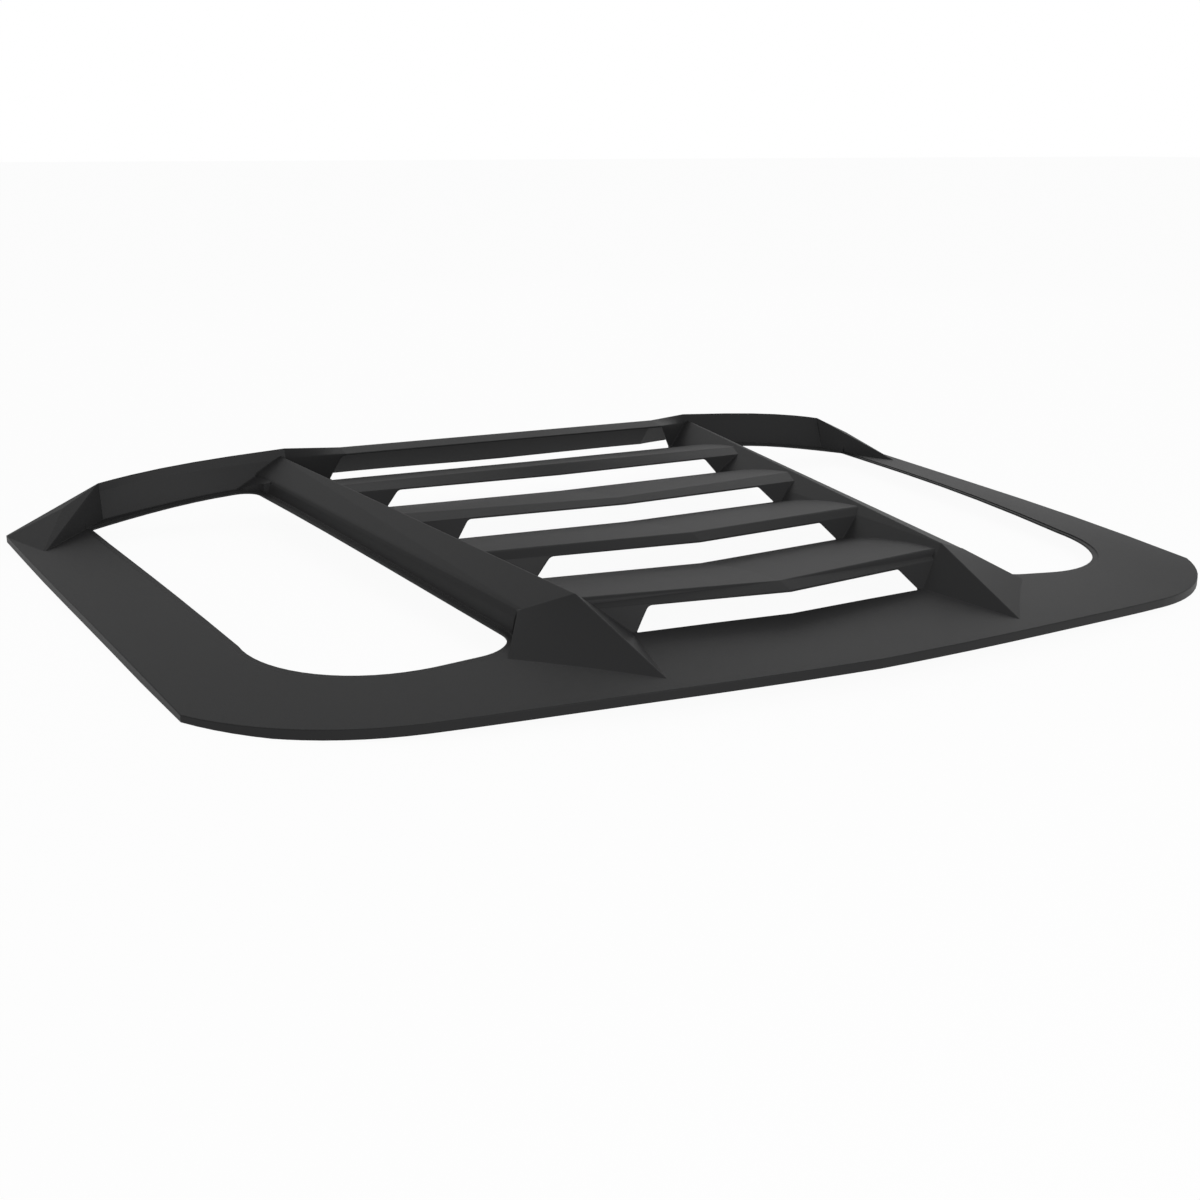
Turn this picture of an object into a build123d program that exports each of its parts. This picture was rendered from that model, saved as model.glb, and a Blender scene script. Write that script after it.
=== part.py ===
from build123d import *
import os
from collections import namedtuple
from math import radians, sin, tan

# Rear window louver, one moulded black plastic panel. Millimetres.
# +X across the car, +Y towards the roof, +Z away from the glass.
# The origin is under the middle of the panel, on the surface it lies on.

# Panel outline in plan
LENGTH = 905.0                # near edge to roof edge, on the centre line of the bow
WIDTH = 1258.0                # across the two roof corners
ALONG = LENGTH / 905.0        # places along the car follow the length
ACROSS = WIDTH / 1258.0       # places across the car follow the width
NEAR_WIDTH = 1140.0           # across the two near corners
NEAR_CORNER_BACK = 192.5      # near corners stand this far behind the bow of the near edge
NEAR_BOW = ((0.351, 0.0935), (0.702, 0.317), (0.877, 0.582))  # bow points as shares of both
FAR_CORNER_FORWARD = 6.5      # roof corners stand this far ahead of the roof edge
SIDE_BOW = 2.5                # outward bow of each side edge
BAR_SETBACK = 20.5            # roof edge is this much shorter between the hoods

# Sheet
WALL = 3.0                    # moulded wall
FLANGE = 9.0                  # turned-down edge, from the top face to its lower rim
BAR_FLANGE = 2.0              # the same along the roof bar, where it is cut back
DEPTH_BELOW = 80.0            # how far the working solids reach below the panel
ROOT = 0.18                   # raised forms run on below the sheet by this share of their slope


def place(x, y, z):
    """A point of the panel, with its place in plan tied to the panel's width and length."""
    return (x * ACROSS, y * ALONG, z)


# Crown of the panel: heights of the top face over the ground, at these places across
CROWN_LAP = 11.0              # the crown is drawn this far past the wider end of the panel
CROWN_X = (0.0, 240.0 * ACROSS, 400.0 * ACROSS, 520.0 * ACROSS, max(WIDTH, NEAR_WIDTH) / 2 + CROWN_LAP)
CROWN = {
    -470.0 * ALONG: (28.0, 23.0, 14.0, 5.0, -6.0),
    -210.0 * ALONG: (34.0, 32.5, 22.5, 13.5, -1.5),
    90.0 * ALONG: (42.5, 43.0, 36.0, 23.5, 2.0),
    380.0 * ALONG: (50.0, 51.5, 42.5, 25.0, 6.0),
    470.0 * ALONG: (53.0, 54.0, 44.0, 26.0, 6.5),
}

# Side windows
WINDOW_NEAR = -280.5 * ALONG          # near edge of the window
WINDOW_FAR = 387.5 * ALONG            # its roof edge beside the rail
WINDOW_FAR_RISE = 3.5                 # bow of that edge
WINDOW_INNER_NEAR = 266.0 * ACROSS    # distance of its rail edge from the centre line, near end
WINDOW_INNER_FAR = 341.0 * ACROSS     # and at the roof end
WINDOW_BORDER_NEAR = 80.0             # from its outer edge to the near corner, across
WINDOW_BORDER_FAR = 90.0              # and to the roof corner
WINDOW_CORNER_Y = 380.0 * ALONG       # the sharp roof corner
WINDOW_BIG_RADIUS = 145.0
WINDOW_NEAR_RADIUS = 38.0
WINDOW_FAR_RADIUS = 28.0
WINDOW_BOW = 2.5
RIM_WIDTH = 6.0                       # rebate round each window
RIM_DEPTH = 1.0

# Rails: two sharp ridges that spread towards the roof, each with a fan-shaped near end
CREST_NEAR = place(209.0, -267.0, 67.0)
CREST_FAR = place(297.0, 424.0, 81.5)
RAIL_CREST_RADIUS = 2.5       # the crest is rolled over with this radius
RAIL_TIP = place(191.0, -418.0, 25.0)
RAIL_INNER_NEAR = place(162.0, -299.0, 28.5)
RAIL_INNER_FAR = place(252.0, 408.0, 54.0)
RAIL_LEDGE = 8.0              # flat ledge between the rail's foot and the side window
RAIL_DROP_BATTER = 4.0        # the steep outer drop leans this much
RAIL_SHOULDER_NEAR = 50.0     # height of the shoulder above the drop, near end
RAIL_SHOULDER_FAR = 63.0
RAIL_SHOULDER_RADIUS = 11.0   # the shoulder is rolled over with this radius
RAIL_DROP_NEAR_Y = -243.0 * ALONG
FAN_FOOT = place(291.0, -300.0, 26.5)
FAN_CORNER = 0.03             # the fan starts this share of the slope above the shoulder
FAN_EDGE = 13.5               # material at the fan's outer edge, measured across
FAN_LAP = 14.0                # the fan runs on this far under the ridge

# Louvre rows, from the near edge to the roof: y and z of the foot, the lip over the slot and
# the crest, each on the centre line and at an end (across, y, z)
Row = namedtuple("Row", "foot_y foot_z foot_end lip_y lip_z lip_end crest_y crest_z crest_end")


def louvre(foot, foot_end, lip, lip_end, crest, crest_end):
    """One row from its (y, z) points on the centre line and its end points."""
    return Row(foot[0] * ALONG, foot[1], place(*foot_end), lip[0] * ALONG, lip[1], place(*lip_end),
               crest[0] * ALONG, crest[1], place(*crest_end))


ROWS = (
    louvre((-308.0, 31.5), (159.6, -296.6, 31.5), (-306.6, 53.1), (142.8, -284.7, 53.1),
           (-287.0, 58.2), (197.0, -269.8, 61.8)),
    louvre((-133.6, 38.5), (190.0, -120.0, 41.0), (-133.0, 62.1), (164.0, -114.0, 61.7),
           (-115.0, 68.0), (223.0, -96.0, 68.4)),
    louvre((36.0, 46.6), (209.0, 40.6, 48.5), (40.0, 67.1), (187.3, 51.5, 67.6),
           (59.0, 70.5), (250.0, 85.0, 72.2)),
    louvre((215.0, 47.5), (230.8, 214.0, 50.0), (215.5, 68.5), (209.7, 217.7, 69.9),
           (240.0, 77.0), (267.0, 247.0, 74.7)),
    louvre((366.0, 54.0), (243.0, 366.0, 55.0), (367.0, 87.0), (229.3, 364.0, 86.7),
           (395.0, 90.5), (229.3, 396.0, 91.0)),
)
SLAT_BULGE = 3.0              # upward bow of each slat's top
CREST_RADIUS = 8.0            # rolled crest of each slat
SLOT_RADIUS = 9.0             # upper corners of the slots
SLOT_MARGIN = 1.5             # each slot starts this much ahead of the foot
LIP_STRIP = 1.5               # and stops this far under the lip
SLOT_END = 2.0                # the slots stop this far from the rails
SECTION_X = 320.0 * ACROSS    # where the end profile of the louvre core is drawn

# Roof bar and hoods
BAR_FLAT = 225.0 * ACROSS     # the bar is straight to here
BAR_FLANGE_END = 284.0 * ACROSS   # and its flange is cut back to here
HOOD_SECTIONS = (
    # foot, top and crest of the hood's front, the first and the last are its ends
    (place(290.0, 404.0, 0), place(290.0, 417.0, 78.5), place(290.0, 420.5, 90.2)),
    (place(400.0, 405.0, 0), place(400.0, 417.5, 72.3), place(400.0, 421.0, 83.2)),
    (place(465.0, 406.0, 0), place(465.0, 418.0, 66.2), place(465.0, 421.0, 76.2)),
    (place(521.0, 407.0, 0), place(521.0, 419.0, 56.2), place(521.0, 421.0, 67.0)),
)
HOOD_START = HOOD_SECTIONS[0][0][0]
HOOD_END = HOOD_SECTIONS[-1][0][0]
BUTTRESS_BENDS = (place(565.5, 407.0, 43.9), place(554.0, 393.5, 37.0))
BUTTRESS_TIPS = (place(601.0, 333.0, 11.3), place(582.0, 348.0, 14.8))

# Facet between a hood's wall and its rail: two points of its upper edge, two of its foot
GUSSET = (place(296.0, 417.0, 78.0), place(326.5, 358.0, 61.0),
          place(362.0, 407.0, 45.0), place(331.8, 369.0, 42.0))
GUSSET_WALL = 8.0             # it is thicker than the sheet, as a window's rebate cuts into its foot


def height_at(y, x):
    """Height of the crown between its stations, by straight lines."""
    stations = sorted(CROWN)
    near = max(s for s in stations if s <= y)
    far = min(s for s in stations if s > near)
    share = (y - near) / (far - near)
    heights = [a + share * (b - a) for a, b in zip(CROWN[near], CROWN[far])]
    i = max(k for k, place in enumerate(CROWN_X[:-1]) if place <= abs(x))
    part = (abs(x) - CROWN_X[i]) / (CROWN_X[i + 1] - CROWN_X[i])
    return heights[i] + part * (heights[i + 1] - heights[i])


def crown_block(drop):
    """Solid under the crowned top face, lowered by drop."""
    faces = []
    for y, heights in CROWN.items():
        half = list(zip(CROWN_X, heights))
        points = [(-x, y, z - drop) for x, z in reversed(half[1:])]
        points += [(x, y, z - drop) for x, z in half]
        top = Spline(*points)
        base = Polyline(top @ 1, (CROWN_X[-1], y, -DEPTH_BELOW), (-CROWN_X[-1], y, -DEPTH_BELOW), top @ 0)
        faces.append(make_face([top, base]))
    return loft(faces)


def plan_prism(inset):
    """The panel's outline in plan, pulled in by inset, as a tall prism."""
    near_y, far_y = -LENGTH / 2, LENGTH / 2
    corner = (NEAR_WIDTH / 2, near_y + NEAR_CORNER_BACK)
    roof = (WIDTH / 2, far_y - FAR_CORNER_FORWARD)
    a, b, c = [(share * corner[0], near_y + back * NEAR_CORNER_BACK) for share, back in NEAR_BOW]
    bow = [ThreePointArc((0, near_y), a, b), ThreePointArc(b, c, corner)]
    middle = ((corner[0] + roof[0]) / 2 + SIDE_BOW, (corner[1] + roof[1]) / 2)
    side = ThreePointArc(corner, middle, roof)
    edge = Polyline(roof, (HOOD_END, far_y), (HOOD_START, far_y), (BAR_FLAT, far_y - BAR_SETBACK),
                    (0, far_y - BAR_SETBACK))
    half = bow + [side, edge]
    outline = make_face(half + [mirror(e, Plane.YZ) for e in half])
    if inset:
        outline = offset(outline, amount=-inset, kind=Kind.INTERSECTION)
    return extrude(Plane.XY.offset(-DEPTH_BELOW) * outline, 3 * DEPTH_BELOW)


def side_window(margin):
    """Prism of the right side window, grown by a margin."""
    start = (WIDTH / 2 - WINDOW_BORDER_FAR, WINDOW_CORNER_Y)
    outer_near = NEAR_WIDTH / 2 - WINDOW_BORDER_NEAR
    radius = min(WINDOW_BIG_RADIUS, outer_near - WINDOW_INNER_NEAR - 1.3 * WINDOW_NEAR_RADIUS)
    arc_end = (outer_near, WINDOW_NEAR + radius)
    arc_start = (outer_near - radius, WINDOW_NEAR)
    far_inner = (WINDOW_INNER_FAR, WINDOW_FAR)
    near_inner = (WINDOW_INNER_NEAR, WINDOW_NEAR)
    far_middle = ((start[0] + far_inner[0]) / 2, max(start[1], far_inner[1]) + WINDOW_FAR_RISE)
    outer_middle = ((start[0] + arc_end[0]) / 2 + WINDOW_BOW, (start[1] + arc_end[1]) / 2)
    edges = [
        ThreePointArc(start, far_middle, far_inner),
        Polyline(far_inner, near_inner, arc_start),
        RadiusArc(arc_start, arc_end, -radius),
        ThreePointArc(arc_end, outer_middle, start),
    ]
    shape = make_face(edges)
    inner = shape.vertices().sort_by(Axis.X)[:2].sort_by(Axis.Y)
    shape = fillet(inner[0], WINDOW_NEAR_RADIUS)
    inner = shape.vertices().group_by(Axis.Y)[-1].sort_by(Axis.X)[0]
    shape = fillet(inner, WINDOW_FAR_RADIUS)
    if margin:
        shape = offset(shape, amount=margin, kind=Kind.INTERSECTION)
    return extrude(Plane.XY.offset(-DEPTH_BELOW) * shape, 3 * DEPTH_BELOW)


def on_line(a, b, y):
    """Point of the line a-b at the place y along the car."""
    share = (y - a[1]) / (b[1] - a[1])
    return tuple(p + share * (q - p) for p, q in zip(a, b))


def rooted(top, foot):
    """The foot of a slope carried on past the sheet, away from the slope's top."""
    return tuple(f + ROOT * (f - t) for t, f in zip(top, foot))


def hull(high, low):
    """Flat-faced solid over the given points, with its low points repeated far below."""
    return ConvexPolyhedron(list(high) + list(low) + [(x, y, -DEPTH_BELOW) for x, y, z in low])


def space_in(solid, wall, open_sides):
    """The space inside a hull: every face moves in by the wall, but those on the open sides stay."""
    box = solid.bounding_box()
    space = Pos(box.center()) * Box(box.size.X, box.size.Y, box.size.Z)
    for face in solid.faces():
        normal = face.normal_at()
        is_open = any(normal.dot(Vector(*side)) > 0.9 for side in open_sides)
        amount = -0.5 if is_open else wall
        plane = Plane(origin=face.center() - normal * amount, z_dir=normal)
        space = split(space, bisect_by=plane, keep=Keep.BOTTOM)
    return space


def lowered(point, inwards, depth):
    """A point moved towards the centre line and down."""
    return (point[0] - inwards, point[1], point[2] - depth)


def fan_block(inner, outer):
    """Solid under the warped face between two sloping lines, down to below the panel."""
    faces = []
    for line in (inner, outer):
        low = [(x, y, -DEPTH_BELOW) for x, y, z in (line[-1], line[0])]
        faces.append(make_face(Polyline(*line, *low, close=True)))
    return loft(faces, ruled=True)


def rounded(before, corner, after, radius, steps):
    """Points on the arc that rounds the corner of a bent line."""
    corner = Vector(*corner)
    one = (Vector(*before) - corner).normalized()
    other = (Vector(*after) - corner).normalized()
    half = radians(one.get_angle(other)) / 2
    centre = corner + (one + other).normalized() * (radius / sin(half))
    start = corner + one * (radius / tan(half)) - centre
    end = corner + other * (radius / tan(half)) - centre
    spokes = [start * (1 - i / steps) + end * (i / steps) for i in range(steps + 1)]
    return [tuple(centre + spoke.normalized() * radius) for spoke in spokes]


def rails():
    """The right rail and the spaces under it: a long ridge and the fan at its near end."""
    near_y, far_y = RAIL_DROP_NEAR_Y, CREST_FAR[1]
    feet = []
    for y in (near_y, far_y):
        share = (y - WINDOW_NEAR) / (WINDOW_FAR - WINDOW_NEAR)
        x = WINDOW_INNER_NEAR + share * (WINDOW_INNER_FAR - WINDOW_INNER_NEAR) - RAIL_LEDGE
        feet.append((x, y, height_at(y, x)))
    shoulders = [(feet[0][0] - RAIL_DROP_BATTER, near_y, RAIL_SHOULDER_NEAR),
                 (feet[1][0] - RAIL_DROP_BATTER, far_y, RAIL_SHOULDER_FAR)]
    inner_far = on_line(RAIL_INNER_NEAR, RAIL_INNER_FAR, far_y)
    low_out = [rooted(s, f) for s, f in zip(shoulders, feet)]
    low_in = [rooted(CREST_NEAR, RAIL_INNER_NEAR), rooted(CREST_FAR, inner_far)]
    ends = list(zip((RAIL_INNER_NEAR, inner_far), (CREST_NEAR, CREST_FAR), shoulders, feet))
    rolls = [rounded(top, side, foot, RAIL_SHOULDER_RADIUS, 3) for inner, top, side, foot in ends]
    crests = [rounded(inner, top, side, RAIL_CREST_RADIUS, 2) for inner, top, side, foot in ends]
    ridge = hull(crests[0] + crests[1] + rolls[0] + rolls[1], low_out + low_in)
    ridge_space = space_in(ridge, WALL, [(0, 1, 0)])

    crest_behind = on_line(CREST_NEAR, CREST_FAR, CREST_NEAR[1] + FAN_LAP)
    shoulder_behind = on_line(*shoulders, near_y + FAN_LAP)
    tip = rooted(CREST_NEAR, RAIL_TIP)
    shift = [t - c for t, c in zip(tip, CREST_NEAR)]
    tips = [tuple(p + d for p, d in zip(point, shift)) for point in crests[0]]
    corner = tuple(s + FAN_CORNER * (c - s) for s, c in zip(shoulders[0], CREST_NEAR))
    foot = rooted(corner, FAN_FOOT)
    fan = fan_block([crests[0][-1], tips[-1]], [corner, foot])
    lap = [crests[0][-1], corner]
    lap += [lowered(crest_behind, -WALL, WALL), lowered(shoulder_behind, WALL, WALL / 2)]
    fan = fan + hull(lap, lap)
    depth = 1.5 * WALL
    fan_space = fan_block([lowered(crest_behind, 0, depth), lowered(tip, 0, depth)],
                          [lowered(shoulder_behind, FAN_EDGE, depth), lowered(foot, FAN_EDGE, depth)])
    web = hull(crests[0], tips + [low_in[0], lowered(shoulders[0], 0, shoulders[0][2] / 2)])
    return [ridge, fan, web], [ridge_space, fan_space, space_in(web, 1.25 * WALL, [])]


def along(centre_y, centre_z, end, x):
    """Point at the place x across on the line from the centre to an end point."""
    share = abs(x) / end[0]
    return (x, centre_y + share * (end[1] - centre_y), centre_z + share * (end[2] - centre_z))


def core_profile(x, inset):
    """Saw-tooth profile of the louvre rows at the place x across."""
    edges = []
    crests = []
    for row, following in zip(ROWS[:-1], ROWS[1:]):
        foot = along(row.foot_y, row.foot_z, row.foot_end, x)
        lip = along(row.lip_y, row.lip_z, row.lip_end, x)
        crest = along(row.crest_y, row.crest_z, row.crest_end, x)
        after = along(following.foot_y, following.foot_z, following.foot_end, x)
        middle = (x, (crest[1] + after[1]) / 2, (crest[2] + after[2]) / 2 + SLAT_BULGE)
        edges += [Line(foot, lip), Line(lip, crest), ThreePointArc(crest, middle, after)]
        crests.append(crest)
    first = along(ROWS[0].foot_y, ROWS[0].foot_z, ROWS[0].foot_end, x)
    last = along(ROWS[-1].foot_y, ROWS[-1].foot_z, ROWS[-1].foot_end, x)
    back = (x, last[1] + 10 * WALL, last[2])
    edges += [Polyline(last, back, (x, back[1], -DEPTH_BELOW), (x, first[1], -DEPTH_BELOW), first)]
    profile = make_face(edges)
    corners = [v for v in profile.vertices() if any((Vector(*c) - Vector(v)).length < 0.01 for c in crests)]
    profile = fillet(corners, CREST_RADIUS)
    if inset:
        profile = offset(profile, amount=-inset, kind=Kind.INTERSECTION)
    return profile


def louvre_core(inset):
    """The block of louvre rows between the rails, swept back from the centre line."""
    half = loft([core_profile(0, inset), core_profile(SECTION_X, inset)], ruled=True)
    both = half + mirror(half, Plane.YZ)
    near, far = -LENGTH / 2, ROWS[-1].foot_y + 11 * WALL
    a = on_line(CREST_NEAR, CREST_FAR, near)[0] + WALL
    b = on_line(CREST_NEAR, CREST_FAR, far)[0] + WALL
    plan = make_face(Polyline((-a, near), (a, near), (b, far), (-b, far), close=True))
    return both & extrude(Plane.XY.offset(-DEPTH_BELOW) * plan, 3 * DEPTH_BELOW)


def bar_profile(x, front, top, crest, back, inset):
    """Profile of the roof bar or a hood, from (y, z) points, carried on below the sheet."""
    front = rooted(top, front)
    back = rooted(crest, back)
    low = -DEPTH_BELOW
    points = [front, top, crest, back, (back[0], low), (front[0], low)]
    profile = make_face(Polyline(*[(x, y, z) for y, z in points], close=True))
    if inset:
        profile = offset(profile, amount=-inset, kind=Kind.INTERSECTION)
    return profile


def roof_bar(inset):
    """The bar over the last slot and the raised hood beside it, right half."""
    row = ROWS[-1]
    far_y = LENGTH / 2
    bar = [(row.foot_y, row.foot_z), (row.lip_y, row.lip_z), (row.crest_y, row.crest_z),
           (far_y - BAR_SETBACK, height_at(far_y - BAR_SETBACK, 0))]
    flat = [bar_profile(x, *bar, inset) for x in (0, BAR_FLAT)]
    sections = []
    for foot, top, crest in HOOD_SECTIONS:
        x = foot[0]
        sections.append(bar_profile(x, (foot[1], height_at(foot[1], x)), top[1:], crest[1:],
                                    (far_y, height_at(far_y, x) + 2), inset))
    return [loft(flat, ruled=True), loft([flat[1], sections[0]], ruled=True), loft(sections)]


def buttress():
    """The end of a hood, which takes it down to the roof corner, and its space."""
    far_y = LENGTH / 2
    foot, top, crest = HOOD_SECTIONS[-1]
    x = foot[0]
    corner = (WIDTH / 2, far_y - FAR_CORNER_FORWARD, height_at(far_y, WIDTH / 2))
    low = [rooted(top, (x, foot[1], height_at(foot[1], x))),
           rooted(crest, corner), rooted(crest, (x, far_y, height_at(far_y, x) + 2))]
    low += [rooted(bend, tip) for bend, tip in zip(BUTTRESS_BENDS, BUTTRESS_TIPS)]
    solid = hull([top, crest] + list(BUTTRESS_BENDS), low)
    return solid, space_in(solid, 1.25 * WALL, [(-1, 0, 0)])


def gusset():
    """The facet in the corner between a hood's wall and its rail, and its space."""
    high, shoulder, wall_foot, rail_foot = GUSSET
    solid = hull([high, shoulder], [wall_foot, rail_foot, (high[0], high[1], wall_foot[2])])
    return solid, space_in(solid, GUSSET_WALL, [])


def slot_cutter(row):
    """Tool for one slot: a swept band in plan, limited by the slot's shape seen from the front."""
    inner = on_line(RAIL_INNER_NEAR, RAIL_INNER_FAR, row.foot_end[1])[0] - SLOT_END
    low = along(row.foot_y, row.foot_z, row.foot_end, inner)
    top_x, top_z = row.lip_end[0], row.lip_end[2] - LIP_STRIP
    bottom = low[2] - 4 * WALL
    wide = 1.2 * inner
    sweep = along(row.foot_y, row.foot_z, row.foot_end, wide)[1]
    near, far = -SLOT_MARGIN, 6 * WALL
    band = make_face(Polyline((-wide, sweep + near), (0, row.foot_y + near), (wide, sweep + near),
                              (wide, sweep + far), (0, row.foot_y + far), (-wide, sweep + far), close=True))
    band = extrude(Plane.XY.offset(-DEPTH_BELOW) * band, 3 * DEPTH_BELOW)
    half = [(inner, bottom), (inner, low[2]), (top_x, top_z)]
    other = [(-x, z) for x, z in reversed(half)]
    front = make_face(Plane.XZ * Polyline(*half, (0, row.lip_z - LIP_STRIP), *other, close=True))
    upper = [v for v in front.vertices() if abs(abs(v.X) - top_x) < 0.01]
    front = fillet(upper, SLOT_RADIUS)
    return band & extrude(front, amount=LENGTH, both=True)


def louver_panel():
    """The whole moulding: everything above the glass less the space under its sheet."""
    ridges, ridge_spaces = rails()
    end, end_space = buttress()
    corner, corner_space = gusset()
    right = ridges + roof_bar(0) + [end, corner]
    right_under = ridge_spaces + roof_bar(WALL) + [end_space, corner_space]
    outer = crown_block(0)
    for shape in [louvre_core(0)] + right + [mirror(s, Plane.YZ) for s in right]:
        outer = outer + shape
    outer = outer & plan_prism(0)
    under = crown_block(WALL)
    for shape in [louvre_core(WALL)] + right_under + [mirror(s, Plane.YZ) for s in right_under]:
        under = under + shape
    under = under & plan_prism(WALL)
    body = outer - under - crown_block(FLANGE)
    bar_edge = Pos(0, LENGTH / 2, 0) * Box(2 * BAR_FLANGE_END, 4 * BAR_SETBACK, 4 * DEPTH_BELOW)
    body = body - (crown_block(BAR_FLANGE) & bar_edge)
    window = side_window(0)
    rebate = side_window(RIM_WIDTH) - crown_block(RIM_DEPTH)
    sides = [rebate, mirror(rebate, Plane.YZ), window, mirror(window, Plane.YZ)]
    for cut in [slot_cutter(row) for row in ROWS] + sides:
        body = body - cut
    ground = Pos(0, 0, -DEPTH_BELOW) * Box(2 * WIDTH, 2 * LENGTH, 2 * DEPTH_BELOW)
    return body - ground


os.makedirs("parts", exist_ok=True)
panel = louver_panel()
export_step(panel, "parts/louver_panel.step")
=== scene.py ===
import bpy
from mathutils import Matrix, Vector

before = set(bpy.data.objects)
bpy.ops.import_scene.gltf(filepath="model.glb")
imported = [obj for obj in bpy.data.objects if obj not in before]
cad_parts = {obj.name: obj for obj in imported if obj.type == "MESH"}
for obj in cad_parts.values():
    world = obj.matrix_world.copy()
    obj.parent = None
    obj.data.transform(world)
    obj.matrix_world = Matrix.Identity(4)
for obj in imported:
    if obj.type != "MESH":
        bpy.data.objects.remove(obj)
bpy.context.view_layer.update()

# The panel.
# A single moulding of black ABS sheet, shown as the CAD solid itself. Its plastic is dull, with a
# fine moulded-in grain, and its edges are a little softer than sharp, as a mould leaves them.
plastic = bpy.data.materials.new("black_grained_plastic")
plastic.use_nodes = True
plastic_nodes = plastic.node_tree.nodes
plastic_links = plastic.node_tree.links
plastic_shader = plastic_nodes["Principled BSDF"]
plastic_shader.inputs["Base Color"].default_value = (0.024, 0.0241, 0.0246, 1)
plastic_shader.inputs["Roughness"].default_value = 0.42
plastic_shader.inputs["Specular IOR Level"].default_value = 0.1

grain_place = plastic_nodes.new("ShaderNodeTexCoord")
grain = plastic_nodes.new("ShaderNodeTexNoise")
grain.inputs["Scale"].default_value = 900
grain.inputs["Detail"].default_value = 2
plastic_links.new(grain_place.outputs["Object"], grain.inputs["Vector"])
grain_relief = plastic_nodes.new("ShaderNodeBump")
grain_relief.inputs["Strength"].default_value = 0.25
grain_relief.inputs["Distance"].default_value = 0.0004
plastic_links.new(grain.outputs["Fac"], grain_relief.inputs["Height"])
plastic_links.new(grain_relief.outputs["Normal"], plastic_shader.inputs["Normal"])
edge_softening = plastic_nodes.new("ShaderNodeBevel")
edge_softening.samples = 6
edge_softening.inputs["Radius"].default_value = 0.002
plastic_links.new(edge_softening.outputs["Normal"], grain_relief.inputs["Normal"])

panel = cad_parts["louver_panel"]
for material_slot in panel.material_slots:
    material_slot.material = plastic

# The floor.
# A pale seamless studio floor. To the camera it is nearly white with a faint shadow, and a part of
# its light is its own, so that it also lifts the faces that look down or ahead.
floor_half = 40.0
floor_mesh = bpy.data.meshes.new("floor")
floor_mesh.from_pydata(
    [(-floor_half, -floor_half, 0), (floor_half, -floor_half, 0),
     (floor_half, floor_half, 0), (-floor_half, floor_half, 0)], [], [(0, 1, 2, 3)])
floor = bpy.data.objects.new("floor", floor_mesh)
bpy.context.scene.collection.objects.link(floor)

floor_paint = bpy.data.materials.new("floor_paint")
floor_paint.use_nodes = True
floor_nodes = floor_paint.node_tree.nodes
floor_links = floor_paint.node_tree.links
floor_shader = floor_nodes["Principled BSDF"]
floor_shader.inputs["Base Color"].default_value = (0.86, 0.86, 0.86, 1)
floor_shader.inputs["Roughness"].default_value = 1.0
floor_shader.inputs["Specular IOR Level"].default_value = 0.0
floor_glow = floor_nodes.new("ShaderNodeEmission")
floor_glow.inputs["Color"].default_value = (1, 1, 1, 1)
floor_seen = floor_nodes.new("ShaderNodeLightPath")
floor_share = floor_nodes.new("ShaderNodeMath")
floor_share.operation = "MULTIPLY_ADD"
floor_share.inputs[1].default_value = 0.5
floor_share.inputs[2].default_value = 0.45
floor_mix = floor_nodes.new("ShaderNodeMixShader")
floor_links.new(floor_seen.outputs["Is Camera Ray"], floor_share.inputs[0])
floor_links.new(floor_share.outputs["Value"], floor_mix.inputs["Fac"])
floor_links.new(floor_shader.outputs["BSDF"], floor_mix.inputs[1])
floor_links.new(floor_glow.outputs["Emission"], floor_mix.inputs[2])
floor_links.new(floor_mix.outputs["Shader"], floor_nodes["Material Output"].inputs["Surface"])
floor_mesh.materials.append(floor_paint)

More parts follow.
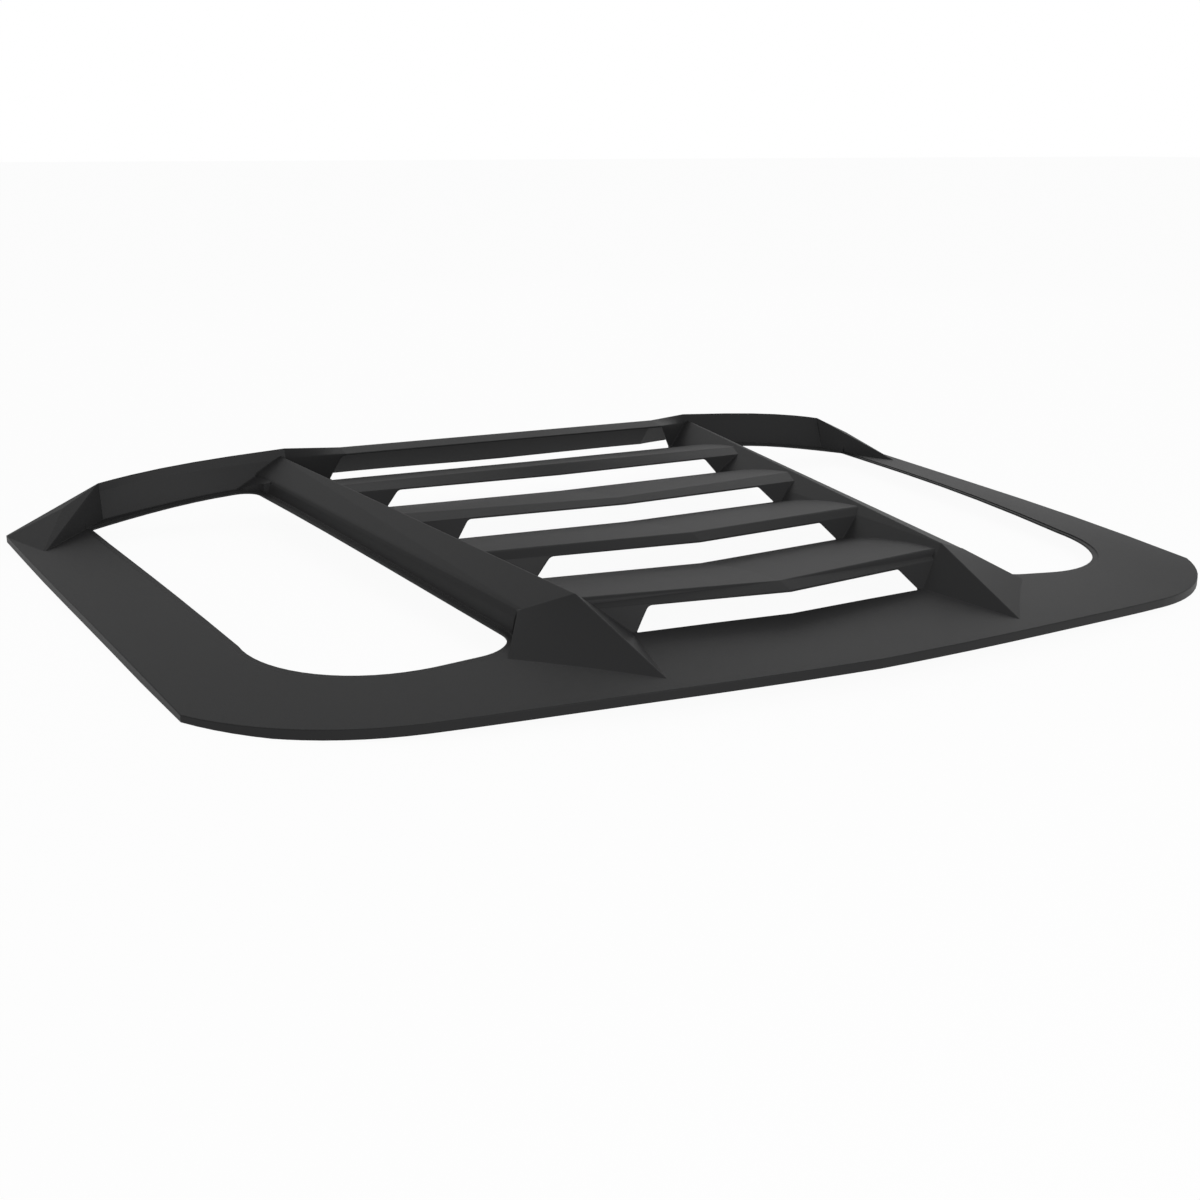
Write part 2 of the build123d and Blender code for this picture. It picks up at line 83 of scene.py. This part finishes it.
# The room.
# An even light from all sides fills the shadows. The camera sees a white backdrop in its place,
# which meets the floor at the horizon.
studio = bpy.data.worlds.new("studio")
studio.use_nodes = True
bpy.context.scene.world = studio
studio_nodes = studio.node_tree.nodes
studio_links = studio.node_tree.links
room_light = studio_nodes["Background"]
room_light.inputs["Color"].default_value = (1, 1, 1, 1)
room_light.inputs["Strength"].default_value = 0.48
backdrop = studio_nodes.new("ShaderNodeBackground")
backdrop.inputs["Color"].default_value = (1, 1, 1, 1)
backdrop.inputs["Strength"].default_value = 1.0
backdrop_seen = studio_nodes.new("ShaderNodeLightPath")
backdrop_mix = studio_nodes.new("ShaderNodeMixShader")
studio_links.new(backdrop_seen.outputs["Is Camera Ray"], backdrop_mix.inputs["Fac"])
studio_links.new(room_light.outputs["Background"], backdrop_mix.inputs[1])
studio_links.new(backdrop.outputs["Background"], backdrop_mix.inputs[2])
studio_links.new(backdrop_mix.outputs["Shader"], studio_nodes["World Output"].inputs["Surface"])

# The lamps.
# Three wide soft lamps: a weak one behind, one behind at the right, and a stronger one in front,
# as high as a person holds it, which lights the hoods' walls and the slats' faces.
panel_middle = (0, 0, 0)


def soft_lamp(name, place, width, height, power):
    """A rectangular soft lamp at a place, turned towards the panel's middle."""
    light = bpy.data.lights.new(name, "AREA")
    light.shape = "RECTANGLE"
    light.size = width
    light.size_y = height
    light.energy = power
    lamp = bpy.data.objects.new(name, light)
    bpy.context.scene.collection.objects.link(lamp)
    lamp.location = place
    direction = lamp.location - Vector(panel_middle)
    lamp.rotation_euler = direction.to_track_quat("Z", "Y").to_euler()


soft_lamp("rear_lamp", (0, 3.0, 1.8), width=2.4, height=1.0, power=3)
soft_lamp("side_lamp", (2.2, 2.6, 1.3), width=2.0, height=1.0, power=4)
soft_lamp("front_lamp", (0.1, -2.9, 1.7), width=1.6, height=1.2, power=42)

# The camera.
# It stands ahead of the near edge and to the left, a little above the panel, as in the photograph.
# Its place and its three axes come from the fit to matching points left and right.
photo_camera = bpy.data.cameras.new("photo_camera")
photo_camera.sensor_width = 36
photo_camera.lens = 46.5
photo_camera.clip_end = 200
camera = bpy.data.objects.new("camera", photo_camera)
bpy.context.scene.collection.objects.link(camera)
camera_place = (-0.79507, -1.49756, 0.46305)
camera_right = (0.8955842, -0.44489206, 0.0)
camera_up = (0.125994, 0.25363059, 0.9590605)
camera_back = (-0.4266784, -0.85891942, 0.28320128)
camera.matrix_world = Matrix([
    (camera_right[0], camera_up[0], camera_back[0], camera_place[0]),
    (camera_right[1], camera_up[1], camera_back[1], camera_place[1]),
    (camera_right[2], camera_up[2], camera_back[2], camera_place[2]),
    (0, 0, 0, 1)])
bpy.context.scene.camera = camera
bpy.context.scene.view_settings.view_transform = "Standard"
